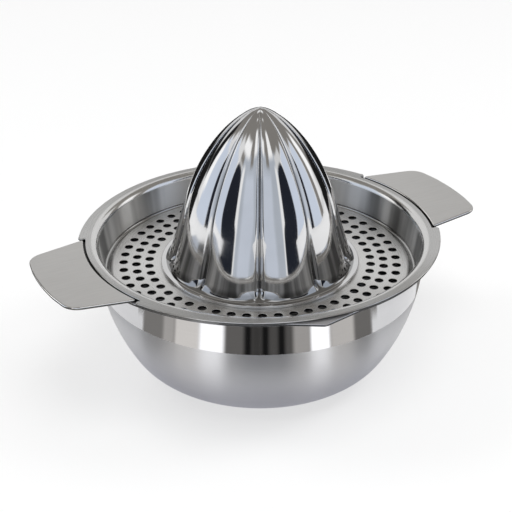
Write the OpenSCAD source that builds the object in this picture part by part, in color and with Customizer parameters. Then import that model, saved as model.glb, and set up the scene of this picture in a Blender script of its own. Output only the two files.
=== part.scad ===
// Citrus squeezer: a bowl with two plate handles, and a strainer with a fluted reamer
// that rests on the bowl's flange and lifts straight out of it.
// Millimetres, +Z up. The origin is the centre of the bowl's flat base, on the table,
// and +X runs along the handles.

/* [Bowl] */
// Height of the bowl's flange above the table
bowl_h = 45; // [38:0.5:60]
// Outer radius of the bowl's wall just under its flange
rim_r = 55.3; // [53:0.1:70]
// Thickness of the bowl's sheet
bowl_sheet = 0.8; // [0.5:0.1:1.2]
// Lean of the straight band under the flange, in degrees from upright
band_taper = 8.5; // [4:0.5:12]
// Height of the straight band under the flange
band_h = 11; // [7:0.5:15]
// Radius of the belly's curve below the band
belly_r = 68; // [60:1:90]
// Radius of the curve from the belly to the flat base
heel_r = 17; // [10:0.5:22]
// Radius under the flange where the wall turns into it
bowl_bend = 1; // [0.8:0.1:1.5]

/* [Flange] */
// Reach of the strainer's flange past the rim, at the front and the back
flange_w = 2.7; // [2.2:0.1:6]
// Extra reach of the flange's ears beside the handles
ear_w = 2; // [1:0.1:4]
// Radius of the corners of the ears
ear_corner = 1; // [0.4:0.1:1.4]
// Step from the edge of the strainer's flange in to the edge of the bowl's
flange_step = 0.5; // [0.2:0.1:0.8]

/* [Spout] */
// Direction of the pouring spout, in degrees from the right handle
spout_turn = -99; // [-110:1:-70]
// Reach of the spout past the bowl's flange
spout_w = 3.4; // [1.5:0.1:6]
// Width of the spout where it leaves the bowl's flange
spout_root = 26; // [16:0.5:30]
// Radius of the spout's tip
spout_tip = 2; // [1:0.1:4]

/* [Handles] */
// Length of a handle, from its root outward
handle_l = 18.2; // [12:0.1:35]
// Width of a handle at its root
handle_w = 44.6; // [34:0.2:56]
// Width of a handle at its tip
handle_tip_w = 37; // [24:0.5:56]
// Thickness of a handle plate
handle_sheet = 1; // [0.8:0.1:2]
// Radius of the outer corners of a handle
handle_corner = 6; // [2:0.5:10]
// Gap between a handle and the notch in the strainer's flange
handle_gap = 0.7; // [0.4:0.1:1.5]
// Step from the flange's edge in to the notch that faces a handle
notch_step = 0.4; // [0:0.1:1]
// Length of the bowl's weld tab under a handle
tab_l = 8; // [4:0.5:12]
// Width of the bowl's weld tab under a handle
tab_w = 30; // [15:1:34]

/* [Strainer] */
// Thickness of the strainer's sheet
strainer_sheet = 0.8; // [0.5:0.1:1.2]
// Depth of the well, from the flange's top to the perforated plate
well_depth = 10; // [7:0.5:13]
// Clearance between the strainer's wall and the bowl's wall
nest_gap = 0.4; // [0.3:0.1:1]
// Radius under the strainer's flange where the wall turns into it
strainer_bend = 1.5; // [0.8:0.1:1.6]
// Radius of the groove round the foot of the wall
groove_r = 0.9; // [0.5:0.1:1.5]
// Radius of the shoulder from the groove up to the plate
shoulder_r = 1.6; // [1.4:0.1:3]

/* [Holes] */
// Diameter of a juice hole
hole_d = 2.8; // [1.5:0.1:3.2]
// Distance from the reamer's foot to the middle of the inner ring of holes
hole_margin = 4; // [2.5:0.1:5]
// Distance from the shoulder to the middle of the outer ring of holes
shoulder_margin = 3.3; // [2.5:0.1:4.5]
// Least metal between the holes of two rings
hole_web = 0.8; // [0.5:0.1:2]
// Holes in the inner ring
inner_holes = 47; // [24:1:52]
// Holes in the middle ring
middle_holes = 51; // [24:1:56]
// Holes in the outer ring
outer_holes = 52; // [24:1:60]
// Turn of the inner ring, in degrees
inner_turn = -1.5; // [-4:0.1:4]
// Turn of the middle ring, in degrees
middle_turn = 1.7; // [-4:0.1:4]
// Turn of the outer ring, in degrees
outer_turn = 2.4; // [-4:0.1:4]

/* [Reamer] */
// Height of the reamer's tip above the perforated plate
reamer_h = 54.5; // [40:0.5:70]
// Radius over the ridges at the reamer's base, without the flare
reamer_r = 28; // [22:0.1:31]
// Number of lobes
lobes = 9; // [6:1:12]
// Rise of a lobe's crown over its edges
lobe_crown = 0.9; // [0.4:0.1:1.5]
// Depth of the narrow valleys between the lobes, below their edges
flute_depth = 0.8; // [0.4:0.1:1.5]
// Half the angle that a valley takes, in degrees
flute_turn = 3; // [2:0.5:8]
// Height over which the valleys grow from the foot to their full depth
flute_rise = 6; // [4:0.5:20]
// Depth of the lobes and valleys near the tip, as a share of the radius there
tip_flute = 0.1; // [0.05:0.01:0.15]
// Turn of the valleys, in degrees from the right handle
reamer_turn = 2; // [-20:1:20]
// Power that keeps the flank upright for longer
flank_power = 2; // [1.5:0.05:3]
// Power that rounds the nose
nose_power = 0.67; // [0.45:0.01:0.8]
// Thickness of the reamer's sheet
reamer_sheet = 0.8; // [0.5:0.1:1.5]
// Reach of the round foot past the reamer's base
foot_w = 5; // [4:0.1:6]
// Height of the foot's edge above the plate
foot_h = 0.9; // [0.6:0.1:2]
// Radius of the foot's edge
foot_edge = 0.3; // [0.1:0.05:0.3]
// Flat width on top of the foot, outside the flare
foot_flat = 1.8; // [0.5:0.1:2.5]
// Height of the flare from the foot into the flank
flare_h = 18; // [8:0.5:24]
// Reach of the plate under the reamer's base
seat_w = 1; // [0.5:0.1:3]

/* [Hidden] */
$fn = 180;
corner_steps = 48;
bend_steps = 8;
belly_steps = 16;
heel_steps = 10;
flare_steps = 6;
flank_steps = 18;
lobe_steps = 10;
cut = 1;

// Bowl wall: the outer face of the band is one line, and every face that nests is offset from it.
bowl_under = bowl_h - bowl_sheet;
bend_mid = [rim_r + bowl_bend * (1 - sin(band_taper)) / cos(band_taper), bowl_under - bowl_bend];
band_low = [rim_r - band_h * tan(band_taper), bowl_under - band_h];
belly_mid = band_low + belly_r * [-cos(band_taper), sin(band_taper)];
heel_turn = asin((belly_mid[1] - heel_r) / (belly_r - heel_r));
heel_mid = belly_mid + (belly_r - heel_r) * [cos(heel_turn), -sin(heel_turn)];

// Flange outline: two arcs that meet under the handles, so that it is widest beside them.
flange_r = rim_r + flange_w;
notch_r = flange_r - notch_step;
root_r = notch_r + handle_gap;
handle_reach = root_r + handle_l;
root_x = sqrt(root_r ^ 2 - (handle_w / 2) ^ 2);
tip_x = sqrt(handle_reach ^ 2 - (handle_tip_w / 2) ^ 2);
ear_turn = asin((handle_w / 2 + handle_gap) / flange_r);
ear_r = flange_r + ear_w;
ear_shift = (ear_r ^ 2 - flange_r ^ 2) / (2 * (flange_r - ear_r * sin(ear_turn)));
bowl_flange_r = flange_r - flange_step;
flange_far = handle_reach;

// Strainer: its wall runs parallel to the band, one sheet and one clearance further in.
flange_top = bowl_h + strainer_sheet;
plate_z = flange_top - well_depth;
wall_inset = bowl_sheet + nest_gap;
seat_bend_mid = [
    band_x(bowl_h, wall_inset) + strainer_bend * (1 - sin(band_taper)) / cos(band_taper),
    bowl_h - strainer_bend
];
shoulder_turn = 60;
groove_depth = (groove_r + shoulder_r) * (1 - cos(shoulder_turn));
groove_z = plate_z - groove_depth + groove_r;
groove_mid = [band_x(groove_z, wall_inset + strainer_sheet + groove_r), groove_z];
shoulder_mid = groove_mid - (groove_r + shoulder_r) * [sin(shoulder_turn), cos(shoulder_turn)];

// Rings of holes, as many as fit, spread evenly between the reamer's foot and the shoulder.
foot_r = reamer_r + foot_w;
ring_first = foot_r + hole_margin;
ring_room = shoulder_mid[0] - shoulder_margin - ring_first;
ring_holes = [inner_holes, middle_holes, outer_holes];
ring_turns = [inner_turn, middle_turn, outer_turn];
ring_fit = 1 + floor(ring_room / (hole_d + hole_web));
ring_count = max(1, min(len(ring_holes), ring_fit));
ring_step = ring_room / max(1, ring_count - 1);
rings = [for (k = [0:ring_count - 1]) [ring_first + k * ring_step, ring_holes[k], ring_turns[k]]];

// Reamer
lobe_half = 180 / lobes;
flank_low = foot_h + flare_h;
flare_w = foot_w - foot_edge - foot_flat;
slope_step = 0.01;

// Radius, at height z, of the band's outer face moved inward by inset
function band_x(z, inset) = rim_r - (bowl_under - z) * tan(band_taper) - inset / cos(band_taper);

// Points of an arc, with angles in degrees
function arc(mid, r, from, to, steps) =
    [for (i = [0:steps]) let (a = from + (to - from) * i / steps) mid + r * [cos(a), sin(a)]];

// One face of the bowl's wall, from the base up to the flange, inset from the outer face
function bowl_face(inset) = concat(
    arc(heel_mid, heel_r - inset, -90, -heel_turn, heel_steps),
    arc(belly_mid, belly_r - inset, -heel_turn, -band_taper, belly_steps),
    arc(bend_mid, bowl_bend + inset, 180 - band_taper, 90, bend_steps)
);

// One face of the strainer's sheet, from the plate up to the flange, sunk below the upper face
function strainer_face(sunk) = concat(
    arc(shoulder_mid, shoulder_r - sunk, 90, 90 - shoulder_turn, bend_steps),
    arc(groove_mid, groove_r + sunk, -90 - shoulder_turn, -band_taper, bend_steps),
    arc(seat_bend_mid, strainer_bend + strainer_sheet - sunk, 180 - band_taper, 90, bend_steps)
);

function reverse(list) = [for (i = [len(list) - 1:-1:0]) list[i]];

function flip(point) = [point[0], -point[1]];

// Radius over the reamer's ridges at height z above the plate: a dome on a flare
function ridge_r(z) =
    reamer_r * (1 - (z / reamer_h) ^ flank_power) ^ nose_power
    + flare_w * max(0, (flank_low - z) / flare_h) ^ 2;

// Share of the full depth of the lobes and valleys at height z, where the radius over the ridges is r
function fluting(z, r) =
    min(1, tip_flute * r / (lobe_crown + flute_depth)) * sin(90 * min(1, (z - foot_h) / flute_rise));

// Radius of a lobed section at angle a from a ridge: a shallow arc, then a narrow round valley
function lobe_r(r, share, a) =
    let (
        low = r - share * lobe_crown,
        mid = (r ^ 2 - low ^ 2) / (2 * (r - low * cos(lobe_half))),
        beside = min(1, (lobe_half - abs(a)) / flute_turn)
    )
    mid * cos(a) + sqrt((r - mid) ^ 2 - (mid * sin(a)) ^ 2)
    - share * flute_depth * (1 - beside ^ 2) ^ 2;

// Heights up the reamer, closer together towards the foot and the tip
function heights() = concat(
    [for (i = [0:flare_steps - 1]) foot_h + flare_h * (i / flare_steps) ^ 1.5],
    [for (i = [0:flank_steps - 1]) reamer_h - (reamer_h - flank_low) * (1 - i / flank_steps) ^ 2]
);

// Rows of the reamer's outside, each [radius over the ridges, height, share of the fluting]
function outer_rows() = concat(
    [for (p = arc([foot_r - foot_edge, foot_edge], foot_edge, -90, 0, 2)) [p[0], p[1], 0]],
    [for (p = arc([foot_r - foot_edge, foot_h - foot_edge], foot_edge, 0, 90, 2)) [p[0], p[1], 0]],
    [for (z = heights()) let (r = ridge_r(z)) [r, z, fluting(z, r)]]
);

// One row of the reamer's inside, one sheet in from height z of the outside along its slope
function inner_row(z) = let (
    slope = (ridge_r(z + slope_step) - ridge_r(z - slope_step)) / (2 * slope_step),
    lean = atan(-slope),
    r = ridge_r(z) - reamer_sheet * cos(lean)
) [r, z - reamer_sheet * sin(lean), fluting(z, r)];

// Rows of the reamer's inside, straight up through the foot and then along the outside
function inner_rows() = let (
    levels = heights(),
    rows = [for (i = [1:len(levels) - 1]) inner_row(levels[i])]
) concat([[rows[0][0], 0, rows[0][2]]], rows);

// Points round one row
function row_points(row) = [
    for (k = [0:lobes - 1], i = [0:lobe_steps - 1])
        let (
            a = lobe_half * sin(90 * (2 * i / lobe_steps - 1)),
            r = lobe_r(row[0], row[2], a),
            turn = reamer_turn + lobe_half * (2 * k + 1) + a
        ) [r * cos(turn), r * sin(turn), plate_z + row[1]]
];

// Two triangles between each pair of neighbours on rows that start at points a and b
function band_faces(a, b, count) = [
    for (i = [0:count - 1], half = [0, 1])
        let (j = (i + 1) % count)
        half == 0 ? [a + i, b + i, b + j] : [a + i, b + j, a + j]
];

// Lens of two arcs, the trimmed outline of a flange
module flange_lens(inset) {
    intersection_for (side = [-1, 1])
        translate([0, side * ear_shift])
            circle(r = flange_r + ear_shift - inset);
}

// Tapered blank of a handle, wider by gap on each side, open towards the bowl
module handle_blank(gap) {
    slope = (handle_tip_w - handle_w) / 2 / (tip_x - root_x);
    near_x = root_x - handle_corner - cut;
    far_x = handle_reach + handle_corner;
    near_y = handle_w / 2 + gap + slope * (near_x - root_x);
    far_y = handle_w / 2 + gap + slope * (far_x - root_x);
    polygon([[near_x, near_y], [far_x, far_y], [far_x, -far_y], [near_x, -near_y]]);
}

module handle_plate() {
    translate([0, 0, bowl_h])
        linear_extrude(handle_sheet)
            difference() {
                offset(r = handle_corner, $fn = corner_steps)
                    offset(delta = -handle_corner)
                        intersection() {
                            handle_blank(0);
                            circle(r = handle_reach);
                        }
                circle(r = root_r);
            }
}

// Pouring lip: straight sides that run from the flange to a round tip
module spout() {
    tip_mid = [bowl_flange_r + spout_w - spout_tip, 0];
    root = [sqrt(bowl_flange_r ^ 2 - (spout_root / 2) ^ 2), spout_root / 2];
    run = tip_mid - root;
    side = 90 + atan2(run[1], run[0]) + asin(spout_tip / norm(run));
    touch = spout_tip * [cos(side), sin(side)];
    rotate(spout_turn) {
        polygon([[0, 0], flip(root), tip_mid + flip(touch), tip_mid + touch, root]);
        translate(tip_mid)
            circle(r = spout_tip);
    }
}

module bowl_outline() {
    flange_lens(flange_step);
    spout();
    intersection() {
        circle(r = root_r + tab_l);
        square([2 * handle_reach, tab_w], center = true);
    }
}

// Flange with a notch round each handle
module strainer_outline() {
    offset(r = ear_corner, $fn = corner_steps)
        offset(delta = -ear_corner)
            difference() {
                flange_lens(0);
                for (turn = [0, 180])
                    rotate(turn)
                        difference() {
                            handle_blank(handle_gap);
                            circle(r = notch_r);
                        }
            }
}

module bowl() {
    color("silver")
        intersection() {
            rotate_extrude()
                polygon(concat(
                    [[0, 0]],
                    bowl_face(0),
                    [[flange_far, bowl_under], [flange_far, bowl_h]],
                    reverse(bowl_face(bowl_sheet)),
                    [[0, bowl_sheet]]
                ));
            linear_extrude(bowl_h + cut)
                bowl_outline();
        }
}

module left_handle() {
    color("darkgray")
        rotate(180)
            handle_plate();
}

module right_handle() {
    color("darkgray")
        handle_plate();
}

module strainer() {
    color("lightgray")
        difference() {
            intersection() {
                rotate_extrude()
                    polygon(concat(
                        [[reamer_r - seat_w, plate_z]],
                        strainer_face(0),
                        [[flange_far, flange_top], [flange_far, bowl_h]],
                        reverse(strainer_face(strainer_sheet)),
                        [[reamer_r - seat_w, plate_z - strainer_sheet]]
                    ));
                linear_extrude(flange_top + cut)
                    strainer_outline();
            }
            for (ring = rings, i = [0:ring[1] - 1])
                rotate(ring[2] + 360 * i / ring[1])
                    translate([ring[0], 0, plate_z - strainer_sheet - cut])
                        cylinder(d = hole_d, h = strainer_sheet + 2 * cut);
        }
}

module reamer() {
    around = lobes * lobe_steps;
    outside = outer_rows();
    inside = inner_rows();
    rows = concat(outside, inside);
    tip = len(rows) * around;
    outer_last = (len(outside) - 1) * around;
    inner_first = len(outside) * around;
    inner_last = (len(rows) - 1) * around;
    points = concat(
        [for (row = rows) each row_points(row)],
        [[0, 0, plate_z + reamer_h], [0, 0, plate_z + reamer_h - reamer_sheet]]
    );
    faces = concat(
        [for (i = [0:len(outside) - 2]) each band_faces(i * around, (i + 1) * around, around)],
        [for (i = [0:len(inside) - 2])
            each band_faces(inner_first + (i + 1) * around, inner_first + i * around, around)],
        band_faces(inner_first, 0, around),
        [for (i = [0:around - 1]) [outer_last + i, tip, outer_last + (i + 1) % around]],
        [for (i = [0:around - 1]) [inner_last + (i + 1) % around, tip + 1, inner_last + i]]
    );
    color("gainsboro")
        polyhedron(points = points, faces = faces);
}

bowl();
left_handle();
right_handle();
strainer();
reamer();
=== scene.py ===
import math

import bmesh
import bpy
import numpy as np
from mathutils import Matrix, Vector
from mathutils.geometry import delaunay_2d_cdt


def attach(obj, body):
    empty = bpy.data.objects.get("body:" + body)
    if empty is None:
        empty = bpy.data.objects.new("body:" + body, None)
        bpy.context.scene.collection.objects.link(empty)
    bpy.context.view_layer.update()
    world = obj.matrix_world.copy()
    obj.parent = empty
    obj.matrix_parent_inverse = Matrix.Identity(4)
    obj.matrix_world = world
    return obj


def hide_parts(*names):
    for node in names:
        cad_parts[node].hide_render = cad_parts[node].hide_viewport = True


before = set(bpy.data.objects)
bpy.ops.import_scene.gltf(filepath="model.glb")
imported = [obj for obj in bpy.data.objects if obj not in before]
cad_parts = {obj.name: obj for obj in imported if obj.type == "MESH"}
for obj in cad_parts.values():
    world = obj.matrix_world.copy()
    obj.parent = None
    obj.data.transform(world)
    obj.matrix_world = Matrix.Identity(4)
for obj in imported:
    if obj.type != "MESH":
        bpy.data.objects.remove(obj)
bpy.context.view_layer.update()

# Sizes in millimetres, as in the part's source

BOWL_H, RIM_R, BOWL_SHEET, TAPER = 45.0, 55.3, 0.8, math.radians(8.5)
BAND_H, BELLY_R, HEEL_R, BOWL_BEND = 11.0, 68.0, 17.0, 1.0
FLANGE_W, EAR_W, EAR_CORNER, FLANGE_STEP = 2.7, 2.0, 1.0, 0.5
SPOUT_TURN, SPOUT_W, SPOUT_ROOT, SPOUT_TIP = math.radians(-99), 3.4, 26.0, 2.0
HANDLE_L, HANDLE_W, HANDLE_TIP_W, HANDLE_SHEET, HANDLE_CORNER = 18.2, 44.6, 37.0, 1.0, 6.0
HANDLE_GAP, NOTCH_STEP, TAB_L, TAB_W = 0.7, 0.4, 8.0, 30.0
STRAINER_SHEET, WELL_DEPTH, NEST_GAP, STRAINER_BEND = 0.8, 10.0, 0.4, 1.5
GROOVE_R, SHOULDER_R, SHOULDER_TURN = 0.9, 1.6, math.radians(60)
HOLE_D, HOLE_MARGIN, SHOULDER_MARGIN = 2.8, 4.0, 3.3
RING_HOLES, RING_TURNS = (47, 51, 52), (-1.5, 1.7, 2.4)
REAMER_H, REAMER_R, FLANK_POWER, NOSE_POWER = 54.5, 28.0, 2.0, 0.67
LOBES, LOBE_CROWN, FLUTE_DEPTH, FLUTE_TURN = 9, 0.9, 0.8, math.radians(3)
TIP_FLUTE, REAMER_TURN = 0.1, math.radians(2)
REAMER_SHEET, FOOT_W, FOOT_H, FOOT_EDGE, FOOT_FLAT = 0.8, 5.0, 0.9, 0.3, 1.8
FLARE_H, SEAT_W = 18.0, 1.0

# Finer than in the part's source: the round edges and corners of sheets and holes, and the reamer's
# lobes, which round out towards a foot with a fillet

BOWL_EDGE, HANDLE_EDGE, STRAINER_EDGE, DRAIN_EDGE = 0.2, 0.42, 0.3, 0.3
HOLE_SOFT, HOLE_SMALL, ROOT_CORNER, NOTCH_CORNER = 0.16, 0.1, 0.5, 0.35
FILLET_W, FILLET_H, FLUTE_RISE = 0.6, 1.2, 3.5
LOW_CROWN, LOW_TOP, LOW_RISE = 0.9, 28.0, 20.0

# SNUG keeps true arcs inside the source's facets, and a flat face overlaps its edge by a lap

SNUG, EDGE_LAP, LOW_LAP, FLAT_LAP, SPACING = 0.03, 0.06, 0.04, 0.05, 0.4
ROUND_STEPS, HOLE_STEPS, LOBE_STEPS, CORNER_STEPS, EDGE_ROWS = 720, 32, 48, 10, 13

BOWL_UNDER = BOWL_H - BOWL_SHEET
FLANGE_R = RIM_R + FLANGE_W
BOWL_FLANGE_R = FLANGE_R - FLANGE_STEP
NOTCH_R = FLANGE_R - NOTCH_STEP
ROOT_R = NOTCH_R + HANDLE_GAP
REACH = ROOT_R + HANDLE_L
ROOT_X = math.sqrt(ROOT_R**2 - (HANDLE_W / 2) ** 2)
TIP_X = math.sqrt(REACH**2 - (HANDLE_TIP_W / 2) ** 2)
SIDE_SLOPE = (HANDLE_TIP_W - HANDLE_W) / 2 / (TIP_X - ROOT_X)
EAR_R = FLANGE_R + EAR_W
EAR_Y = HANDLE_W / 2 + HANDLE_GAP
EAR_SHIFT = (EAR_R**2 - FLANGE_R**2) / (2 * (FLANGE_R - EAR_R * EAR_Y / FLANGE_R))
HANDLE_TOP = BOWL_H + HANDLE_SHEET
FLANGE_TOP = BOWL_H + STRAINER_SHEET
PLATE_Z = FLANGE_TOP - WELL_DEPTH
FOOT_R = REAMER_R + FOOT_W
FLARE_W = FOOT_W - FOOT_EDGE - FOOT_FLAT
FLANK_LOW = FOOT_H + FLARE_H


# Curves

def arc(mid, r, start, end, steps):
    """Points of an arc in a plane, with angles in radians."""
    a = np.linspace(start, end, steps + 1)
    return np.asarray(mid) + r * np.stack([np.cos(a), np.sin(a)], 1)


def circle(mid, r, z, steps):
    """A level loop of points about a middle."""
    a = np.linspace(0, 2 * math.pi, steps, endpoint=False)
    return np.stack([mid[0] + r * np.cos(a), mid[1] + r * np.sin(a), np.full_like(a, z)], 1)


def around(profile):
    """One loop of points about Z for each (radius, height)."""
    return [circle((0, 0), r, z, ROUND_STEPS) for r, z in profile]


def band_x(z, inset):
    """Radius of the bowl's straight band at height z, moved inward by inset."""
    return RIM_R - (BOWL_UNDER - z) * math.tan(TAPER) - inset / math.cos(TAPER)


def lens(angle, inset):
    """Reach of a flange's lens outline at an angle from +X."""
    s, c = np.abs(np.sin(angle)), np.cos(angle)
    return -EAR_SHIFT * s + np.sqrt((FLANGE_R + EAR_SHIFT - inset) ** 2 - (EAR_SHIFT * c) ** 2)


def side_y(x, gap):
    """Half width of a handle, plus a gap, at a distance along X."""
    return HANDLE_W / 2 + gap + SIDE_SLOPE * (x - ROOT_X)


def resample(points, spacing):
    """A closed outline with its straight runs cut into short pieces."""
    out = []
    for p, q in zip(points, np.roll(points, -1, axis=0)):
        n = max(1, round(np.linalg.norm(q - p) / spacing))
        out += [p + (q - p) * i / n for i in range(n)]
    return np.array(out)


def rounded(points, radii):
    """A closed outline with each corner replaced by a tangent arc of its radius."""
    out = []
    for i, r in enumerate(radii):
        p, a, b = points[i], points[i - 1], points[(i + 1) % len(points)]
        if r == 0:
            out.append(p)
            continue
        u, v = (a - p) / np.linalg.norm(a - p), (b - p) / np.linalg.norm(b - p)
        half = math.acos(np.clip(u @ v, -1, 1)) / 2
        mid = p + (u + v) / np.linalg.norm(u + v) * r / math.sin(half)
        t0, t1 = p + u * r / math.tan(half) - mid, p + v * r / math.tan(half) - mid
        a0 = math.atan2(t0[1], t0[0])
        turn = (math.atan2(t1[1], t1[0]) - a0 + math.pi) % (2 * math.pi) - math.pi
        out += list(arc(mid, r, a0, a0 + turn, CORNER_STEPS))
    return np.array(out)


def moved_in(outline, distance):
    """A closed outline, counter-clockwise, moved inward along its normals."""
    t = np.roll(outline, -1, axis=0) - np.roll(outline, 1, axis=0)
    t /= np.linalg.norm(t, axis=1)[:, None]
    return outline + distance * np.stack([-t[:, 1], t[:, 0]], 1)


# Meshes

MERGE = 2e-6


class Skin:
    """Gathers loops and flat faces, then makes one closed piece of them."""

    def __init__(self):
        self.points, self.faces, self.marks = [], [], []

    def add(self, points):
        first = len(self.points)
        self.points += [tuple(p) for p in points]
        return first

    def loops(self, rows, mark=0):
        """Bands of quads between loops with equal counts; mark picks the piece's material."""
        n = len(rows[0])
        first = [self.add(row) for row in rows]
        for a, b in zip(first, first[1:]):
            self.faces += [(a + i, a + (i + 1) % n, b + (i + 1) % n, b + i) for i in range(n)]
            self.marks += [mark] * n

    def cap(self, row, point):
        """A fan from a loop to one point."""
        a, tip, n = self.add(row), self.add([point]), len(row)
        self.faces += [(a + i, a + (i + 1) % n, tip) for i in range(n)]
        self.marks += [0] * n

    def flat(self, outline, holes, z):
        """A flat face at height z between an outline and the round holes in it."""
        flat, edges, owner = [], [], []
        for k, loop in enumerate([outline, *holes]):
            n, first = len(loop), len(flat)
            flat += [Vector((p[0], p[1])) for p in loop]
            edges += [(first + i, first + (i + 1) % n) for i in range(n)]
            owner += [k] * n
        inside, tolerance = 1, 1e-5
        found, _, triangles, origin, *_ = delaunay_2d_cdt(flat, edges, [], inside, tolerance)
        owner = [owner[o[0]] if o else 0 for o in origin]
        first = self.add([(p[0], p[1], z) for p in found])
        for t in triangles:
            loops = {owner[i] for i in t}
            if len(loops) > 1 or loops == {0}:
                self.faces.append(tuple(first + i for i in t))
                self.marks.append(0)

    def piece(self, name, body, node, slot, *materials):
        """The visible piece, in metres, on its body and in place of its solid."""
        mesh = bpy.data.meshes.new(name)
        points = [(x / 1000, y / 1000, z / 1000) for x, y, z in self.points]
        mesh.from_pydata(points, [], self.faces)
        mesh.polygons.foreach_set("material_index", self.marks)
        bm = bmesh.new()
        bm.from_mesh(mesh)
        bmesh.ops.remove_doubles(bm, verts=bm.verts, dist=MERGE)
        bmesh.ops.recalc_face_normals(bm, faces=bm.faces)
        bm.to_mesh(mesh)
        bm.free()
        mesh.shade_smooth()
        for material in materials:
            mesh.materials.append(material)
        obj = bpy.data.objects.new(name, mesh)
        bpy.context.scene.collection.objects.link(obj)
        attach(obj, body)
        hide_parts(node)


def raised(outline, z):
    """A flat outline at height z."""
    return np.column_stack([outline, np.full(len(outline), z)])


def rim_rows(outline, low, high, edge):
    """Loops over a sheet's round edge, from its top face to its lower face."""
    lap = moved_in(outline, edge + EDGE_LAP)
    rows = [raised(lap, high)]
    for a in np.radians(np.linspace(90, -90, EDGE_ROWS)):
        z = (high - edge if a > 0 else low + edge) + edge * math.sin(a)
        rows.append(raised(moved_in(outline, edge * (1 - math.cos(a))), z))
    rows.append(raised(lap, low))
    return rows


# Outlines of the sheets

def handle_outline(side):
    """A handle's plan: arcs about the bowl's axis at both ends and tapered sides."""
    steps = 24
    root = math.asin(HANDLE_W / 2 / ROOT_R)
    tip = math.asin(HANDLE_TIP_W / 2 / REACH)
    far = arc((0, 0), REACH - SNUG, -tip, tip, steps)
    near = arc((0, 0), ROOT_R, root, -root, steps)
    plain = [0] * (steps - 1)
    radii = [HANDLE_CORNER, *plain, HANDLE_CORNER, ROOT_CORNER, *plain, ROOT_CORNER]
    return side * resample(thin(np.concatenate([far, near]), radii), SPACING)


def strainer_outline():
    """The strainer's plan: a lens with a notch round each handle. Iteration finds its corners."""
    inner_steps, outer_steps = 60, 240
    corners, radii = [], []
    x = ROOT_X
    for _ in range(30):
        x = math.sqrt(NOTCH_R**2 - side_y(x, HANDLE_GAP) ** 2)
    notch = math.atan2(side_y(x, HANDLE_GAP), x)
    ear = notch
    for _ in range(60):
        r = lens(ear, 0)
        ear = math.asin(side_y(r * math.cos(ear), HANDLE_GAP) / r)
    for turn in (0, math.pi):
        inner = arc((0, 0), NOTCH_R, turn - notch, turn + notch, inner_steps)
        a = np.linspace(turn + ear, turn + math.pi - ear, outer_steps)
        outer = np.stack([lens(a, SNUG) * np.cos(a), lens(a, SNUG) * np.sin(a)], 1)
        corners += [*inner, *outer]
        radii += [NOTCH_CORNER, *[0] * (inner_steps - 1), NOTCH_CORNER]
        radii += [EAR_CORNER, *[0] * (outer_steps - 2), EAR_CORNER]
    return resample(thin(np.array(corners), radii), SPACING)


def thin(points, radii):
    """Rounds the corners, after dropping points that lie within a corner's own arc."""
    keep = [True] * len(points)
    for i, r in enumerate(radii):
        if r:
            for step in (1, -1):
                j = (i + step) % len(points)
                while not radii[j] and np.linalg.norm(points[j] - points[i]) < 1.3 * r:
                    keep[j] = False
                    j = (j + step) % len(points)
    kept = [i for i, k in enumerate(keep) if k]
    return rounded(points[kept], [radii[i] for i in kept])


def bowl_outline():
    """The bowl's plan: a lens with two weld tabs and the pouring lip, as a reach for each angle."""
    tip = BOWL_FLANGE_R + SPOUT_W - SPOUT_TIP - SNUG
    root = np.array([math.sqrt(BOWL_FLANGE_R**2 - (SPOUT_ROOT / 2) ** 2), SPOUT_ROOT / 2])
    run = np.array([tip, 0]) - root
    side = math.pi / 2 + math.atan2(run[1], run[0]) + math.asin(SPOUT_TIP / np.linalg.norm(run))
    touch = np.array([tip, 0]) + SPOUT_TIP * np.array([math.cos(side), math.sin(side)])
    tab_r = ROOT_R + TAB_L
    tab = math.asin(TAB_W / 2 / tab_r)
    angles = np.concatenate([
        np.linspace(-math.pi, math.pi, 900, endpoint=False),
        *[t + s * np.linspace(tab - 0.005, tab + 0.04, 40) for t in (0, math.pi) for s in (1, -1)],
        SPOUT_TURN + np.linspace(-0.06, 0.06, 60),
    ])
    out = []
    for a in np.unique(np.round((angles + math.pi) % (2 * math.pi) - math.pi, 5)):
        r = float(lens(a, FLANGE_STEP + SNUG))
        if abs(math.sin(a)) * tab_r < TAB_W / 2:
            r = max(r, tab_r)
        else:
            r = max(r, min(tab_r, TAB_W / 2 / abs(math.sin(a))))
        d = abs((a - SPOUT_TURN + math.pi) % (2 * math.pi) - math.pi)
        if d < math.atan2(touch[1], touch[0]):
            r = max(r, tip * math.cos(d) + math.sqrt(SPOUT_TIP**2 - (tip * math.sin(d)) ** 2))
        elif d < math.atan2(root[1], root[0]):
            e = touch - root
            cross = root[0] * e[1] - root[1] * e[0]
            r = max(r, cross / (math.cos(d) * e[1] - math.sin(d) * e[0]))
        out.append((r * math.cos(a), r * math.sin(a)))
    return np.array(out)


# Pieces

def bowl_face(inset):
    """One side of the bowl's sheet, from its base to its flange, as radii and heights."""
    mid_b = np.array([RIM_R - BAND_H * math.tan(TAPER), BOWL_UNDER - BAND_H])
    mid_b = mid_b + BELLY_R * np.array([-math.cos(TAPER), math.sin(TAPER)])
    turn = math.asin((mid_b[1] - HEEL_R) / (BELLY_R - HEEL_R))
    mid_h = mid_b + (BELLY_R - HEEL_R) * np.array([math.cos(turn), -math.sin(turn)])
    mid_f = (RIM_R + BOWL_BEND * (1 - math.sin(TAPER)) / math.cos(TAPER), BOWL_UNDER - BOWL_BEND)
    return np.concatenate([
        arc(mid_h, HEEL_R - inset, -math.pi / 2, -turn, 28),
        arc(mid_b, BELLY_R - inset, -turn, -TAPER, 40)[1:],
        arc(mid_f, BOWL_BEND + inset, math.pi - TAPER, math.pi / 2, 12),
    ])


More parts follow.
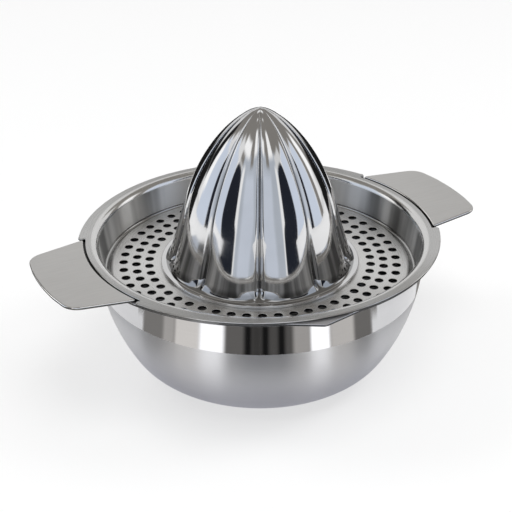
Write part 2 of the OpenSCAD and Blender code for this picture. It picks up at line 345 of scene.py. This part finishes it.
def make_bowl(material):
    skin = Skin()
    outside, inside = bowl_face(0), bowl_face(BOWL_SHEET)
    for face, z in ((outside, 0.0), (inside, BOWL_SHEET)):
        centre = [(r, z) for r in np.linspace(face[0][0] * 0.02, face[0][0], 16)]
        skin.loops(around(centre + list(face[1:])))
        skin.cap(around(centre[:1])[0], (0, 0, z))
    outline = bowl_outline()
    edge = rim_rows(outline, BOWL_UNDER, BOWL_H, BOWL_EDGE)
    skin.loops(edge)
    ring = around([outside[-1]])[0][:, :2]
    skin.flat(edge[0][:, :2], [ring], BOWL_H)
    skin.flat(edge[-1][:, :2], [ring], BOWL_UNDER)
    skin.piece("bowl_shell", "bowl", "bowl", "bowl_steel", material)


def make_handle(name, node, side, material):
    skin = Skin()
    edge = rim_rows(handle_outline(side), BOWL_H, HANDLE_TOP, HANDLE_EDGE)
    skin.loops(edge)
    skin.flat(edge[0][:, :2], [], HANDLE_TOP)
    skin.flat(edge[-1][:, :2], [], BOWL_H)
    skin.piece(name, "bowl", node, "satin_steel", material)


def strainer_face(sunk):
    """One side of the strainer's sheet, from its plate to its flange, as radii and heights."""
    inset = BOWL_SHEET + NEST_GAP
    lean = (1 - math.sin(TAPER)) / math.cos(TAPER)
    bend = (band_x(BOWL_H, inset) + STRAINER_BEND * lean, BOWL_H - STRAINER_BEND)
    depth = (GROOVE_R + SHOULDER_R) * (1 - math.cos(SHOULDER_TURN))
    z = PLATE_Z - depth + GROOVE_R
    groove = np.array([band_x(z, inset + STRAINER_SHEET + GROOVE_R), z])
    step = np.array([math.sin(SHOULDER_TURN), math.cos(SHOULDER_TURN)])
    shoulder = groove - (GROOVE_R + SHOULDER_R) * step
    up = math.pi / 2
    return np.concatenate([
        arc(shoulder, SHOULDER_R - sunk, up, up - SHOULDER_TURN, 12),
        arc(groove, GROOVE_R + sunk, -up - SHOULDER_TURN, -TAPER, 20)[1:],
        arc(bend, STRAINER_BEND + STRAINER_SHEET - sunk, math.pi - TAPER, up, 14),
    ])


def make_strainer(material, punched):
    skin = Skin()
    top, low = strainer_face(0), strainer_face(STRAINER_SHEET)
    under = PLATE_Z - STRAINER_SHEET
    for face in (top, low):
        start, end = face[0] - (FLAT_LAP, 0), face[-1] + (FLAT_LAP, 0)
        skin.loops(around([start, *face, end]))
    edge = rim_rows(strainer_outline(), BOWL_H, FLANGE_TOP, STRAINER_EDGE)
    skin.loops(edge)
    for row, face, z in ((edge[0], top, FLANGE_TOP), (edge[-1], low, BOWL_H)):
        skin.flat(row[:, :2], [around([(face[-1][0] + FLAT_LAP, 0)])[0][:, :2]], z)

    first = FOOT_R + HOLE_MARGIN
    step = (top[0][0] - SHOULDER_MARGIN - first) / 2
    upper, lower, soft_rows = [], [], 6
    for ring, (count, turn) in enumerate(zip(RING_HOLES, RING_TURNS)):
        for i in range(count):
            a = math.radians(turn + 360 * i / count)
            mid = (first + ring * step) * np.array([math.cos(a), math.sin(a)])
            rows = hole_rows(mid, under)
            skin.loops(rows[:soft_rows])
            skin.loops(rows[soft_rows - 1:], mark=1)
            upper.append(rows[0][:, :2])
            lower.append(rows[-1][:, :2])
    drain = REAMER_R - SEAT_W
    lip = around([
        (drain + DRAIN_EDGE, PLATE_Z),
        (drain, PLATE_Z - DRAIN_EDGE),
        (drain, under + DRAIN_EDGE),
        (drain + DRAIN_EDGE, under),
    ])
    skin.loops(lip)
    for face, holes, row, z in ((top, upper, lip[0], PLATE_Z), (low, lower, lip[-1], under)):
        skin.flat(around([(face[0][0] - FLAT_LAP, 0)])[0][:, :2], [*holes, row[:, :2]], z)
    skin.piece("strainer_shell", "insert", "strainer", "satin_steel", material, punched)


def hole_rows(mid, under):
    """Loops down a punched hole: a soft upper edge, the wall and a small lower edge."""
    r, quarter = HOLE_D / 2, math.pi / 2
    soft = np.array([r + HOLE_SOFT, PLATE_Z - HOLE_SOFT])
    small = np.array([r + HOLE_SMALL, under + HOLE_SMALL])
    path = [
        soft + (EDGE_LAP, HOLE_SOFT),
        *arc(soft, HOLE_SOFT, quarter, 2 * quarter, 6),
        *arc(small, HOLE_SMALL, 2 * quarter, 3 * quarter, 3),
        small + (LOW_LAP, -HOLE_SMALL),
    ]
    return [circle(mid, q, z, HOLE_STEPS) for q, z in path]


def ridge_r(z):
    """Radius over the reamer's ridges at a height over the plate: dome, flare and fillet."""
    dome = REAMER_R * max(0, 1 - (z / REAMER_H) ** FLANK_POWER) ** NOSE_POWER
    flare = FLARE_W * max(0, (FLANK_LOW - z) / FLARE_H) ** 2
    return dome + flare + FILLET_W * max(0, 1 - (z - FOOT_H) / FILLET_H) ** 3


def fluting(z, r):
    """Share of the full depth of the lobes and valleys at a height, where the radius is r."""
    rise = math.sin(math.pi / 2 * min(1, max(0, z - FOOT_H) / FLUTE_RISE))
    return min(1, TIP_FLUTE * r / (LOBE_CROWN + FLUTE_DEPTH)) * rise


def lobed(r, z, share):
    """One loop of lobes: each is a shallow arc, and neighbours meet in a narrow round valley."""
    half = math.pi / LOBES
    u = np.linspace(-1, 1, LOBE_STEPS, endpoint=False)
    a = half * np.sin(math.pi / 2 * u)
    t = np.clip((half - np.abs(a)) / FLUTE_TURN, 0, 1)
    lower = min(1, max(0, (LOW_TOP - z) / LOW_RISE))
    low = r - share * LOBE_CROWN * (1 + LOW_CROWN * lower**2 * (3 - 2 * lower))
    mid = (r**2 - low**2) / (2 * (r - low * math.cos(half)))
    reach = mid * np.cos(a) + np.sqrt((r - mid) ** 2 - (mid * np.sin(a)) ** 2)
    reach -= share * FLUTE_DEPTH * (1 - t**2) ** 2
    turn = np.concatenate([REAMER_TURN + half * (2 * k + 1) + a for k in range(LOBES)])
    reach = np.tile(reach, LOBES)
    level = np.full_like(turn, PLATE_Z + z)
    return np.stack([reach * np.cos(turn), reach * np.sin(turn), level], 1)


def reamer_heights(flare_steps, flank_steps):
    """Heights up the reamer's flare and flank, closer together towards the foot and the tip."""
    flare = FOOT_H + FLARE_H * np.linspace(0, 1, flare_steps, endpoint=False) ** 1.5
    left = 1 - np.linspace(0, 1, flank_steps, endpoint=False)
    return np.concatenate([flare, REAMER_H - (REAMER_H - FLANK_LOW) * left**2])


def make_reamer(material):
    edge = FOOT_R - FOOT_EDGE
    path = [
        (edge - FLAT_LAP, 0.0),
        *arc((edge, FOOT_EDGE), FOOT_EDGE, -math.pi / 2, 0, 5),
        *arc((edge, FOOT_H - FOOT_EDGE), FOOT_EDGE, 0, math.pi / 2, 5),
    ]
    path += [(ridge_r(FOOT_H) + gap, FOOT_H) for gap in (0.2, 0.1)]
    path += [(ridge_r(z), z) for z in reamer_heights(64, 150)]
    outside = [lobed(r, z, fluting(z, r)) for r, z in path]

    inner, step = [], 0.01
    for z in [z for z in reamer_heights(30, 70) if z > FOOT_H + FILLET_H]:
        lean = math.atan((ridge_r(z - step) - ridge_r(z + step)) / (2 * step))
        r = ridge_r(z) - REAMER_SHEET * math.cos(lean)
        inner.append((r, z - REAMER_SHEET * math.sin(lean), fluting(z, r)))
    r, _, share = inner[0]
    inside = [lobed(*row) for row in [(r, 0.0, share), *inner]]

    skin = Skin()
    skin.loops(outside)
    skin.cap(outside[-1], (0, 0, PLATE_Z + REAMER_H))
    skin.loops(inside)
    skin.cap(inside[-1], (0, 0, PLATE_Z + REAMER_H - REAMER_SHEET))
    skin.loops([inside[0], outside[0]])
    skin.piece("reamer_shell", "insert", "reamer", "mirror_steel", material)


# Materials

class Nodes:
    """A principled metal, the place of the shaded point, and short ways to add nodes."""

    def __init__(self, name):
        self.material = bpy.data.materials.new(name)
        self.material.use_nodes = True
        self.tree = self.material.node_tree
        self.shader = self.tree.nodes["Principled BSDF"]
        self.shader.inputs["Metallic"].default_value = 1.0
        point = self.add("ShaderNodeSeparateXYZ")
        self.fill(point.inputs[0], self.add("ShaderNodeTexCoord").outputs["Object"])
        self.x, self.y, self.z = point.outputs
        squares = [self.product(value, value) for value in (self.x, self.y)]
        self.r = self.math("SQRT", self.math("ADD", *squares))
        self.angle = self.math("ARCTAN2", self.y, self.x)

    def add(self, kind, **settings):
        """A new node, with settings for its sockets and its own properties."""
        node = self.tree.nodes.new(kind)
        for key, value in settings.items():
            if key in node.inputs:
                node.inputs[key].default_value = value
            else:
                setattr(node, key, value)
        return node

    def fill(self, socket, value):
        """Sets a socket to a number, or links another node's output to it."""
        if isinstance(value, (int, float)):
            socket.default_value = value
        else:
            self.tree.links.new(value, socket)

    def math(self, operation, *values):
        node = self.add("ShaderNodeMath", operation=operation)
        for socket, value in zip(node.inputs, values):
            self.fill(socket, value)
        return node.outputs[0]

    def product(self, first, *others):
        """All the values multiplied."""
        for other in others:
            first = self.math("MULTIPLY", first, other)
        return first

    def mixed(self, a, b, share):
        """Two values mixed, of which the first has a share between 0 and 1."""
        return self.math("ADD", self.product(a, share), self.product(b, 1 - share))

    def ranged(self, value, low, high, to_low, to_high):
        """Goes smoothly from to_low to to_high while a value goes from low to high."""
        node = self.add("ShaderNodeMapRange", interpolation_type="SMOOTHSTEP")
        keys = ("Value", "From Min", "From Max", "To Min", "To Max")
        for key, v in zip(keys, (value, low, high, to_low, to_high)):
            self.fill(node.inputs[key], v)
        return node.outputs["Result"]

    def step(self, length, start, width, before=0.0, after=1.0):
        """Goes from one value to another where a length passes a place, in millimetres."""
        return self.ranged(length, start / 1000, (start + width) / 1000, before, after)

    def blend(self, mask, off, on):
        """Picks one of two values by a mask."""
        return self.ranged(mask, 0.0, 1.0, off, on)

    def spread(self, noise, low, high):
        """A noise's usual range, spread between two values."""
        return self.ranged(noise, 0.3, 0.7, low, high)

    def noise(self, x, y, z, scale, detail=3.0):
        joined = self.add("ShaderNodeCombineXYZ")
        for socket, value in zip(joined.inputs, (x, y, z)):
            self.fill(socket, value)
        node = self.add("ShaderNodeTexNoise", Scale=scale, Detail=detail)
        self.fill(node.inputs["Vector"], joined.outputs[0])
        return node.outputs["Fac"]

    def cloud(self, scale, detail=3.0):
        """Noise that is alike in all directions."""
        return self.noise(self.x, self.y, self.z, scale, detail)

    def turned_lines(self):
        """Fine lines that run round the axis."""
        along, across = 0.004, 6.0
        return self.noise(
            self.product(self.angle, along),
            self.product(self.r, across),
            self.product(self.z, across),
            scale=1500,
            detail=4,
        )

    def rough(self, value):
        self.fill(self.shader.inputs["Roughness"], value)

    def bump(self, height, strength):
        node = self.add("ShaderNodeBump", Strength=strength, Distance=0.0001)
        self.fill(node.inputs["Height"], height)
        self.fill(self.shader.inputs["Normal"], node.outputs["Normal"])

    def brushed_round(self, amount):
        """Stretches the gloss across lines that run round the axis."""
        self.shader.inputs["Anisotropic"].default_value = amount
        self.shader.inputs["Anisotropic Rotation"].default_value = 0.25
        tangent = self.add("ShaderNodeTangent", direction_type="RADIAL", axis="Z")
        self.fill(self.shader.inputs["Tangent"], tangent.outputs[0])

    def edge_shade_and_highlight(self, low, high, edge):
        """Shade of a sheet's edge: painted shade on its side face and a painted highlight on its
        upper round.

        The sheet lies between two heights, and its edges are rounded, in millimetres."""
        painted_dark, painted_highlight, face = 0.75, 0.45, 0.06
        start, width = high - 0.8 * edge, 0.2 * edge
        # painted shade darkens the side face, and a painted highlight lightens the upper round
        side = self.product(
            self.step(self.z, low + 0.08, 0.06, 0.0, painted_dark),
            self.step(self.z, start, width, 1.0, 0.0),
        )
        upper = self.product(
            self.step(self.z, start, width, 0.0, painted_highlight),
            self.step(self.z, high - face, 0.04, 1.0, 0.0),
        )
        return self.math("ADD", self.math("SUBTRACT", 1.0, side), upper)

    def tint(self, value, dark, light, shade=None):
        """Base colour between two tones, darkened by a second value."""
        ramp = self.add("ShaderNodeValToRGB")
        for end, tone, place in zip(ramp.color_ramp.elements, (dark, light), (0.3, 0.7)):
            end.color, end.position = (*tone, 1), place
        self.fill(ramp.inputs["Fac"], value)
        colour = ramp.outputs["Color"]
        if shade:
            node = self.add("ShaderNodeVectorMath", operation="MULTIPLY")
            self.fill(node.inputs[0], colour)
            self.fill(node.inputs[1], shade)
            colour = node.outputs[0]
        self.fill(self.shader.inputs["Base Color"], colour)


def turned_steel():
    """The strainer's satin sheet, brushed round the axis.

    It is polished where it bends, darkened in the groove by painted shade, and rougher up the wall,
    whose streaks are painted shade and painted reflection over drawing marks."""
    m = Nodes("turned_steel")
    wall_r, bend_r, bend_z, groove_r, groove_z = 51.6, 55.2, 43.8, 49.0, 35.4
    flange_r, rim_r = 55.5, 56.0
    streak_scale, streak_rise, streak_seed = 3.2, 2.0, 1.8

    lines, cloud = m.turned_lines(), m.cloud(60)
    wall = m.product(m.step(m.r, wall_r, 0.4), m.step(m.z, bend_z, 0.5, 1.0, 0.0))
    bend = m.product(m.step(m.z, bend_z, 0.5), m.step(m.r, bend_r, 0.4, 1.0, 0.0))
    groove = m.product(m.step(m.r, groove_r, 0.4), m.step(m.z, groove_z, 0.3, 1.0, 0.0))
    drawn_and_painted_streaks = m.noise(
        m.math("DIVIDE", m.x, m.r),
        m.math("DIVIDE", m.y, m.r),
        m.math("ADD", m.product(m.z, streak_rise), streak_seed),
        streak_scale,
    )
    # painted shade in the groove and up the wall, where the streaks also stand in for reflections;
    # painted shade and a painted highlight on the rim's edge
    shade = m.product(
        m.step(m.r, flange_r, 0.5, 1.0, 0.74),
        m.blend(groove, 1.0, 0.6),
        m.blend(m.step(m.r, rim_r, 0.2), 1.0, m.edge_shade_and_highlight(BOWL_H, FLANGE_TOP, STRAINER_EDGE)),
        m.blend(wall, 1.0, m.ranged(drawn_and_painted_streaks, 0.38, 0.62, 0.26, 1.05)),
    )
    m.tint(m.mixed(lines, cloud, 0.3), (0.73, 0.725, 0.715), (0.81, 0.805, 0.795), shade)
    satin = m.blend(wall, m.spread(lines, 0.26, 0.34), m.spread(lines, 0.4, 0.46))
    m.rough(m.blend(m.math("MAXIMUM", bend, groove), satin, 0.14))
    m.brushed_round(0.95)
    m.bump(lines, 0.006)
    return m.material


def shaded_hole_wall():
    """Wall of a punched hole, dark with painted shade, and rough."""
    m = Nodes("shaded_hole_wall")
    m.tint(m.cloud(900), (0.02, 0.02, 0.02), (0.06, 0.058, 0.055))
    m.rough(0.6)
    return m.material


def handle_steel():
    """Satin plate with polished edges, brushed along, with faint marks of use."""
    m = Nodes("handle_steel")
    across = 30.0
    lines, cloud = m.noise(m.x, m.product(m.y, across), m.z, 120, 4), m.cloud(45)
    m.tint(
        m.mixed(lines, cloud, 0.4),
        (0.57, 0.56, 0.545),
        (0.69, 0.68, 0.665),
        # painted shade on the edge sides and a painted highlight on their upper round
        m.edge_shade_and_highlight(BOWL_H, HANDLE_TOP, HANDLE_EDGE),
    )
    face = m.step(m.z, HANDLE_TOP - 0.05, 0.04)
    m.rough(m.blend(face, 0.1, m.spread(cloud, 0.3, 0.4)))
    m.bump(lines, 0.04)
    return m.material


def bowl_steel():
    """Satin bowl with a straight band that is polished outside, and painted shade in the gaps
    beside the handles.
    """
    m = Nodes("bowl_steel")
    band_low, band_high, rim_r = BOWL_UNDER - BAND_H - 1.75, 44.4, 56.6
    seam_y, seam_in, seam_out, seam_z, seam_width = 23.2, 57.0, 58.7, 44.8, 0.2

    lines, cloud = m.turned_lines(), m.cloud(40)
    across = m.math("SUBTRACT", m.r, m.product(m.z, math.tan(TAPER)))
    band = m.product(
        m.step(m.z, band_low, 0.5),
        m.step(m.z, band_high, 0.3, 1.0, 0.0),
        m.step(across, band_x(0, 0) - 0.45, 0.1),
    )
    # painted shade: near black on the flange top in the gaps round the handles' roots
    unshaded = m.step(m.math("ABSOLUTE", m.y), seam_y, 0.5)
    for beyond in (
        m.step(m.r, seam_in, seam_width, 1.0, 0.0),
        m.step(m.r, seam_out, seam_width),
        m.step(m.z, seam_z, seam_width, 1.0, 0.0),
    ):
        unshaded = m.math("MAXIMUM", unshaded, beyond)
    # painted shade and a painted highlight on the rim's edge
    shade = m.product(
        m.blend(unshaded, 0.03, 1.0),
        m.blend(m.step(m.r, rim_r, 0.2), 1.0, m.edge_shade_and_highlight(BOWL_UNDER, BOWL_H, BOWL_EDGE)),
    )
    m.tint(m.mixed(lines, cloud, 0.4), (0.6, 0.6, 0.615), (0.67, 0.67, 0.685), shade)
    m.rough(m.blend(band, m.spread(lines, 0.38, 0.42), m.spread(cloud, 0.05, 0.08)))
    m.brushed_round(0.8)
    m.bump(lines, 0.005)
    return m.material


def mirror_steel():
    """Polished pressing with the faint haze that handling leaves.

    Painted shade darkens its valleys, apart from their two ends, and the bend round its foot."""
    m = Nodes("mirror_steel")
    foot, nose = PLATE_Z + FOOT_H, PLATE_Z + REAMER_H
    haze, fine = m.cloud(70, 5), m.cloud(900, 2)
    # painted shade in the valleys between the lobes and at the bend above the foot
    turn = m.product(m.math("SUBTRACT", m.angle, REAMER_TURN), LOBES / 2)
    valley_shade = m.ranged(m.math("ABSOLUTE", m.math("SINE", turn)), 0.03, 0.12, 0.3, 1.0)
    ends = m.math(
        "MAXIMUM",
        m.step(m.z, foot, FLUTE_RISE - FOOT_H, 1.0, 0.0),
        m.step(m.z, nose - 9, 7),
    )
    bend = m.math(
        "MAXIMUM",
        m.step(m.z, foot, 0.3, 1.0, 0.0),
        m.step(m.z, foot + 1.5, FLUTE_RISE - 1.5, 0.5, 1.0),
    )
    shade = m.product(m.math("MAXIMUM", valley_shade, ends), bend)
    m.tint(haze, (0.72, 0.72, 0.725), (0.79, 0.79, 0.795), shade)
    m.rough(m.ranged(haze, 0.35, 0.7, 0.04, 0.09))
    m.bump(fine, 0.01)
    return m.material


make_bowl(bowl_steel())
for node, side in (("right_handle", 1), ("left_handle", -1)):
    make_handle(f"{node}_plate", node, side, handle_steel())
make_strainer(turned_steel(), shaded_hole_wall())
make_reamer(mirror_steel())


# Camera, in degrees and metres, with its focal length in pixels of the photo's width

AZIMUTH, ELEVATION, DISTANCE = -27.5, 28.0, 0.45
AIM_HEIGHT, AIM_SHIFT = 0.03714, 0.00133
FOCAL, PHOTO_W, SENSOR = 1345, 512, 36


def toward(azimuth, elevation):
    """Direction at an azimuth to the right of the camera, and an elevation, in degrees."""
    a, e = math.radians(AZIMUTH + azimuth), math.radians(elevation)
    return Vector((math.sin(a) * math.cos(e), -math.cos(a) * math.cos(e), math.sin(e)))


def make_camera():
    back, right = toward(0, ELEVATION), toward(90, 0)
    camera = bpy.data.objects.new("camera", bpy.data.cameras.new("camera"))
    bpy.context.scene.collection.objects.link(camera)
    camera.data.sensor_width = SENSOR
    camera.data.lens = FOCAL / PHOTO_W * SENSOR
    camera.location = Vector((0, 0, AIM_HEIGHT)) - AIM_SHIFT * right + DISTANCE * back
    camera.rotation_mode = "QUATERNION"
    camera.rotation_quaternion = (-back).to_track_quat("-Z", "Y")
    bpy.context.scene.camera = camera


make_camera()


# Stage: a pale floor, a white world, three lamps, and cards that only reflections show

FLOOR_SIZE, FLOOR_DROP, FLOOR_GLOW, SKY_LIGHT = 8.0, 0.0002, 0.6, 0.55
CARD_CELLS = 48


def glow(name, colour, strength):
    """A card's own light, which fades out towards its edges."""
    material = bpy.data.materials.new(name)
    material.use_nodes = True
    tree = material.node_tree
    tree.nodes.remove(tree.nodes["Principled BSDF"])
    light = tree.nodes.new("ShaderNodeEmission")
    light.inputs["Color"].default_value = (*colour, 1)
    light.inputs["Strength"].default_value = strength
    fade = tree.nodes.new("ShaderNodeAttribute")
    fade.attribute_name = "fade"
    mix = tree.nodes.new("ShaderNodeMixShader")
    tree.links.new(fade.outputs["Fac"], mix.inputs["Fac"])
    tree.links.new(tree.nodes.new("ShaderNodeBsdfTransparent").outputs[0], mix.inputs[1])
    tree.links.new(light.outputs[0], mix.inputs[2])
    tree.links.new(mix.outputs[0], tree.nodes["Material Output"].inputs["Surface"])
    return material


def seen(tree):
    """1 where a camera, glossy or transmission ray looks."""
    path = tree.nodes.new("ShaderNodeLightPath")
    total = path.outputs["Is Camera Ray"]
    for name in ("Is Glossy Ray", "Is Transmission Ray"):
        node = tree.nodes.new("ShaderNodeMath")
        node.operation = "MAXIMUM"
        tree.links.new(total, node.inputs[0])
        tree.links.new(path.outputs[name], node.inputs[1])
        total = node.outputs[0]
    return total


def smooth(values):
    """Weights from 0 to 1 with soft ends, for values cut off at 0 and 1."""
    t = np.clip(values, 0, 1)
    return t * t * (3 - 2 * t)


def eased(values, soft):
    """Weights that rise from 0 at both ends of a row of values to 1 at a distance from them."""
    if not soft:
        return np.ones(len(values))
    return smooth(np.minimum(values - values[0], values[-1] - values) / soft)


def oval():
    """Weights of a card with a rounded outline and a soft rim."""
    power, rim = 3, 0.12
    u = np.abs(np.linspace(-1, 1, CARD_CELLS + 1)) ** power
    return smooth((1 - (u[None, :] + u[:, None]) ** (1 / power)) / rim)


def card(name, azimuths, spans, place, colour, strength, soft):
    """A card of the studio that only reflections show, over a range of azimuths and a second range.

    Its edges fade over the two distances in soft, or it is an oval where there are none."""
    u, v = (np.linspace(*ends, CARD_CELLS + 1) for ends in (azimuths, spans))
    row = CARD_CELLS + 1
    corners = [i + j * row for j in range(CARD_CELLS) for i in range(CARD_CELLS)]
    mesh = bpy.data.meshes.new(name)
    mesh.from_pydata(
        [place(a, b) for b in v for a in u], [], [(i, i + 1, i + row + 1, i + row) for i in corners]
    )
    fade = mesh.attributes.new("fade", "FLOAT", "POINT")
    weights = np.outer(eased(v, soft[1]), eased(u, soft[0])) if soft else oval()
    fade.data.foreach_set("value", weights.ravel())
    mesh.materials.append(glow(name, colour, strength))
    obj = bpy.data.objects.new(name, mesh)
    bpy.context.scene.collection.objects.link(obj)
    obj.visible_camera = obj.visible_diffuse = obj.visible_shadow = False


def wall_card(name, azimuths, elevations, colour, distance=0.8, strength=1.0, soft=None):
    """A curved card that stands round the object, over degrees of azimuth and elevation."""
    middle = Vector((0, 0, 0.05))

    def place(a, e):
        return middle + distance * toward(a, e)

    card(name, azimuths, elevations, place, colour, strength, soft)


def floor_card(name, azimuths, reach, colour, strength=1.0, soft=(0, 0), lift=0.0003):
    """A card that lies beside the object, just over the floor, over degrees and metres."""
    up = Vector((0, 0, lift))
    card(name, azimuths, reach, lambda a, r: up + toward(a, 0) * r, colour, strength, soft)


def make_floor():
    half = FLOOR_SIZE / 2
    mesh = bpy.data.meshes.new("floor")
    corners = [(x * half, y * half, 0) for x, y in ((-1, -1), (1, -1), (1, 1), (-1, 1))]
    mesh.from_pydata(corners, [], [(0, 1, 2, 3)])
    floor = bpy.data.objects.new("floor", mesh)
    bpy.context.scene.collection.objects.link(floor)
    floor.location.z = -FLOOR_DROP
    material = bpy.data.materials.new("floor")
    material.use_nodes = True
    tree = material.node_tree
    paper = tree.nodes["Principled BSDF"]
    paper.inputs["Base Color"].default_value = (0.9, 0.9, 0.9, 1)
    paper.inputs["Roughness"].default_value = 0.9
    light = tree.nodes.new("ShaderNodeEmission")
    share = tree.nodes.new("ShaderNodeMath")
    share.operation = "MULTIPLY"
    share.inputs[1].default_value = FLOOR_GLOW
    mix = tree.nodes.new("ShaderNodeMixShader")
    tree.links.new(seen(tree), share.inputs[0])
    tree.links.new(share.outputs[0], mix.inputs["Fac"])
    tree.links.new(paper.outputs[0], mix.inputs[1])
    tree.links.new(light.outputs[0], mix.inputs[2])
    tree.links.new(mix.outputs[0], tree.nodes["Material Output"].inputs["Surface"])
    mesh.materials.append(material)


def make_world():
    world = bpy.data.worlds.new("studio")
    bpy.context.scene.world = world
    world.use_nodes = True
    tree = world.node_tree
    sky = tree.nodes["Background"]
    sky.inputs["Color"].default_value = (1, 1, 1, 1)
    level = tree.nodes.new("ShaderNodeMapRange")
    level.inputs["To Min"].default_value = SKY_LIGHT
    level.inputs["To Max"].default_value = 1.0
    tree.links.new(seen(tree), level.inputs["Value"])
    tree.links.new(level.outputs["Result"], sky.inputs["Strength"])


def lamp(name, azimuth, elevation, size, power, distance=0.9):
    """A square lamp that faces the object and shows in no reflection."""
    data = bpy.data.lights.new(name, "AREA")
    data.size, data.energy = size, power
    obj = bpy.data.objects.new(name, data)
    bpy.context.scene.collection.objects.link(obj)
    out = toward(azimuth, elevation)
    obj.location = Vector((0, 0, 0.04)) + distance * out
    obj.rotation_mode = "QUATERNION"
    obj.rotation_quaternion = out.to_track_quat("Z", "Y")
    obj.visible_glossy = False


make_floor()
make_world()
lamp("top_light", 20, 75, 0.5, 3.0)
lamp("left_light", -100, 45, 0.3, 2.0)
lamp("right_light", 100, 45, 0.3, 2.0)

WHITE, GREY, BLACK = (1.0, 1.0, 1.0), (0.76, 0.76, 0.76), (0.012, 0.012, 0.012)
BROWN, BEIGE, LILAC = (0.25, 0.237, 0.22), (0.4, 0.385, 0.365), (0.47, 0.47, 0.51)
BLUE, ICE, PALE = (0.7, 0.77, 0.89), (0.64, 0.69, 0.78), (0.5, 0.54, 0.6)
NAVY = (0.018, 0.021, 0.03)

# Overhead and behind the object
wall_card("ceiling", (-180, 180), (38, 90), BROWN, distance=1.4, soft=(0, 5))
wall_card("back_wall", (112, 248), (-2, 45), GREY, distance=1.3, soft=(8, 4))
wall_card("top_box", (145, 215), (58, 74), WHITE, soft=(15, 6))

# In front: a pale window between dark flags, under two soft boxes
wall_card("front", (-44, 44), (-14, 54), PALE, distance=0.84, soft=(4, 6))
wall_card("front_glow", (-25, 14), (-16, 43), ICE, distance=0.82, soft=(9, 9))
wall_card("left_softbox", (-70, -11), (46, 65), WHITE, strength=1.1, soft=(9, 6))
wall_card("left_fill", (-94, -58), (35, 55), WHITE, distance=0.82, strength=0.85, soft=(9, 6))
wall_card("right_softbox", (4, 36), (46, 76), WHITE, strength=1.1, soft=(7, 7))
wall_card("right_fill", (32, 72), (37, 51), GREY, distance=0.82, soft=(8, 4))
wall_card("front_top", (-10, 8), (40, 64), BROWN, distance=0.81, soft=(4, 6))
wall_card("left_gap", (-40, -27), (-14, 45), WHITE, distance=0.81, soft=(4, 6))
wall_card("right_gap", (26, 39), (-14, 45), WHITE, distance=0.81, soft=(4, 6))
wall_card("left_flag", (-72, -35), (-11, 41), NAVY)
wall_card("left_flag_foot", (-68, -31), (-14, 12), NAVY)
wall_card("right_flag", (34, 68), (-11, 42), NAVY)
wall_card("right_flag_foot", (30, 64), (-14, 12), NAVY)

# At the sides
wall_card("left_blue", (-106, -68), (-24, 41), BLUE, distance=0.84, soft=(4, 4))
wall_card("left_white", (-117, -97), (4, 33), WHITE, strength=1.2, soft=(6, 6))
wall_card("left_dark", (-136, -112), (4, 40), BLACK, distance=0.87, soft=(4, 5))
wall_card("right_blue", (64, 94), (-24, 42), BLUE, distance=0.84, soft=(4, 4))
wall_card("right_white", (103, 121), (6, 36), WHITE, strength=1.2, soft=(4, 7))
for name, azimuths, low in (
    ("right_pole", (92, 105), -12),
    ("right_post", (120, 135), -12),
    ("left_hood", (-155, -103), 30),
    ("right_hood", (98, 165), 29),
):
    wall_card(name, azimuths, (low, 48), BROWN, distance=0.88, soft=(3, 4))
for hand, way in (("left", -1), ("right", 1)):
    wall_card(f"{hand}_edge", sorted((way * 120, way * 182)), (-16, 10), BLACK, soft=(4, 5))
    floor_card(f"{hand}_skirt", sorted((way * 118, way * 182)), (0.2, 1.2), BLACK, soft=(3, 0.02))
    floor_card(f"{hand}_side", sorted((way * 64, way * 120)), (0.085, 0.25), BLACK, 4, (5, 0.02))

# On the floor: a shade under the belly, and stripes round the bowl that its polished band shows,
# alike in front and behind. Neighbours overlap, at two heights in turn, and the tips start farther
# out, clear of the handles.
STRIPES = (
    ("left_end", -66, -52, BEIGE, 0.65),
    ("grey", -52, -45, BEIGE, 1.3),
    ("light", -45, -31, BEIGE, 2.2),
    ("gleam", -31, -18, WHITE, 1.6),
    ("dim_1", -18, -8, BEIGE, 0.4),
    ("dark_1", -8, -4, BLACK, 1.0),
    ("dim_2", -4, 0.5, BEIGE, 0.15),
    ("dark_2", 0.5, 4.5, BLACK, 1.0),
    ("dim_3", 4.5, 8.5, BEIGE, 0.25),
    ("dark_3", 8.5, 12.5, BLACK, 1.0),
    ("dim_4", 12.5, 16.5, BEIGE, 0.3),
    ("beige", 16.5, 25, BEIGE, 1.2),
    ("white", 25, 36, WHITE, 1.7),
    ("shade", 36, 50, BEIGE, 1.7),
    ("right_end", 50, 62, BEIGE, 0.5),
)
LEFT_END, RIGHT_END, STRIPE_LAP, TIP_STEP, TIP_LAP = 66, 62, 1.5, 4, 0.7
STRIPE_NEAR, STRIPE_FAR, TIP_NEAR = 0.064, 0.2, (0.083, 0.091)
BASE_LIFT, LOW_LIFT, HIGH_LIFT, TIP_LIFT = 0.0002, 0.0003, 0.0006, 0.0009
floor_card("base_shade", (-180, 180), (0.02, 0.062), LILAC, 1.0, (0, 0.012))
for turn, view_side in ((0, "front"), (180, "back")):
    reach = (STRIPE_NEAR, STRIPE_FAR)
    ends = (turn - LEFT_END - 1, turn + RIGHT_END + 1)
    floor_card(f"{view_side}_base", ends, reach, BEIGE, 0.4, (1.2, 0.006), BASE_LIFT)
    for row, (name, start, end, colour, strength) in enumerate(STRIPES):
        over = (turn + start - STRIPE_LAP, turn + end + STRIPE_LAP)
        lift = HIGH_LIFT if row % 2 else LOW_LIFT
        floor_card(f"{view_side}_{name}", over, reach, colour, strength, (3, 0.006), lift)
    for way, start in ((-1, LEFT_END), (1, RIGHT_END)):
        for count, near in enumerate(TIP_NEAR):
            step = TIP_STEP * count
            span = sorted(turn + way * (start + step + d) for d in (-TIP_LAP, TIP_STEP + TIP_LAP))
            name = f"{view_side}_tip_{way * start + step}"
            floor_card(name, span, (near, STRIPE_FAR), BEIGE, 0.6, (1.2, 0.005), TIP_LIFT)

bpy.context.scene.view_settings.view_transform = "Standard"
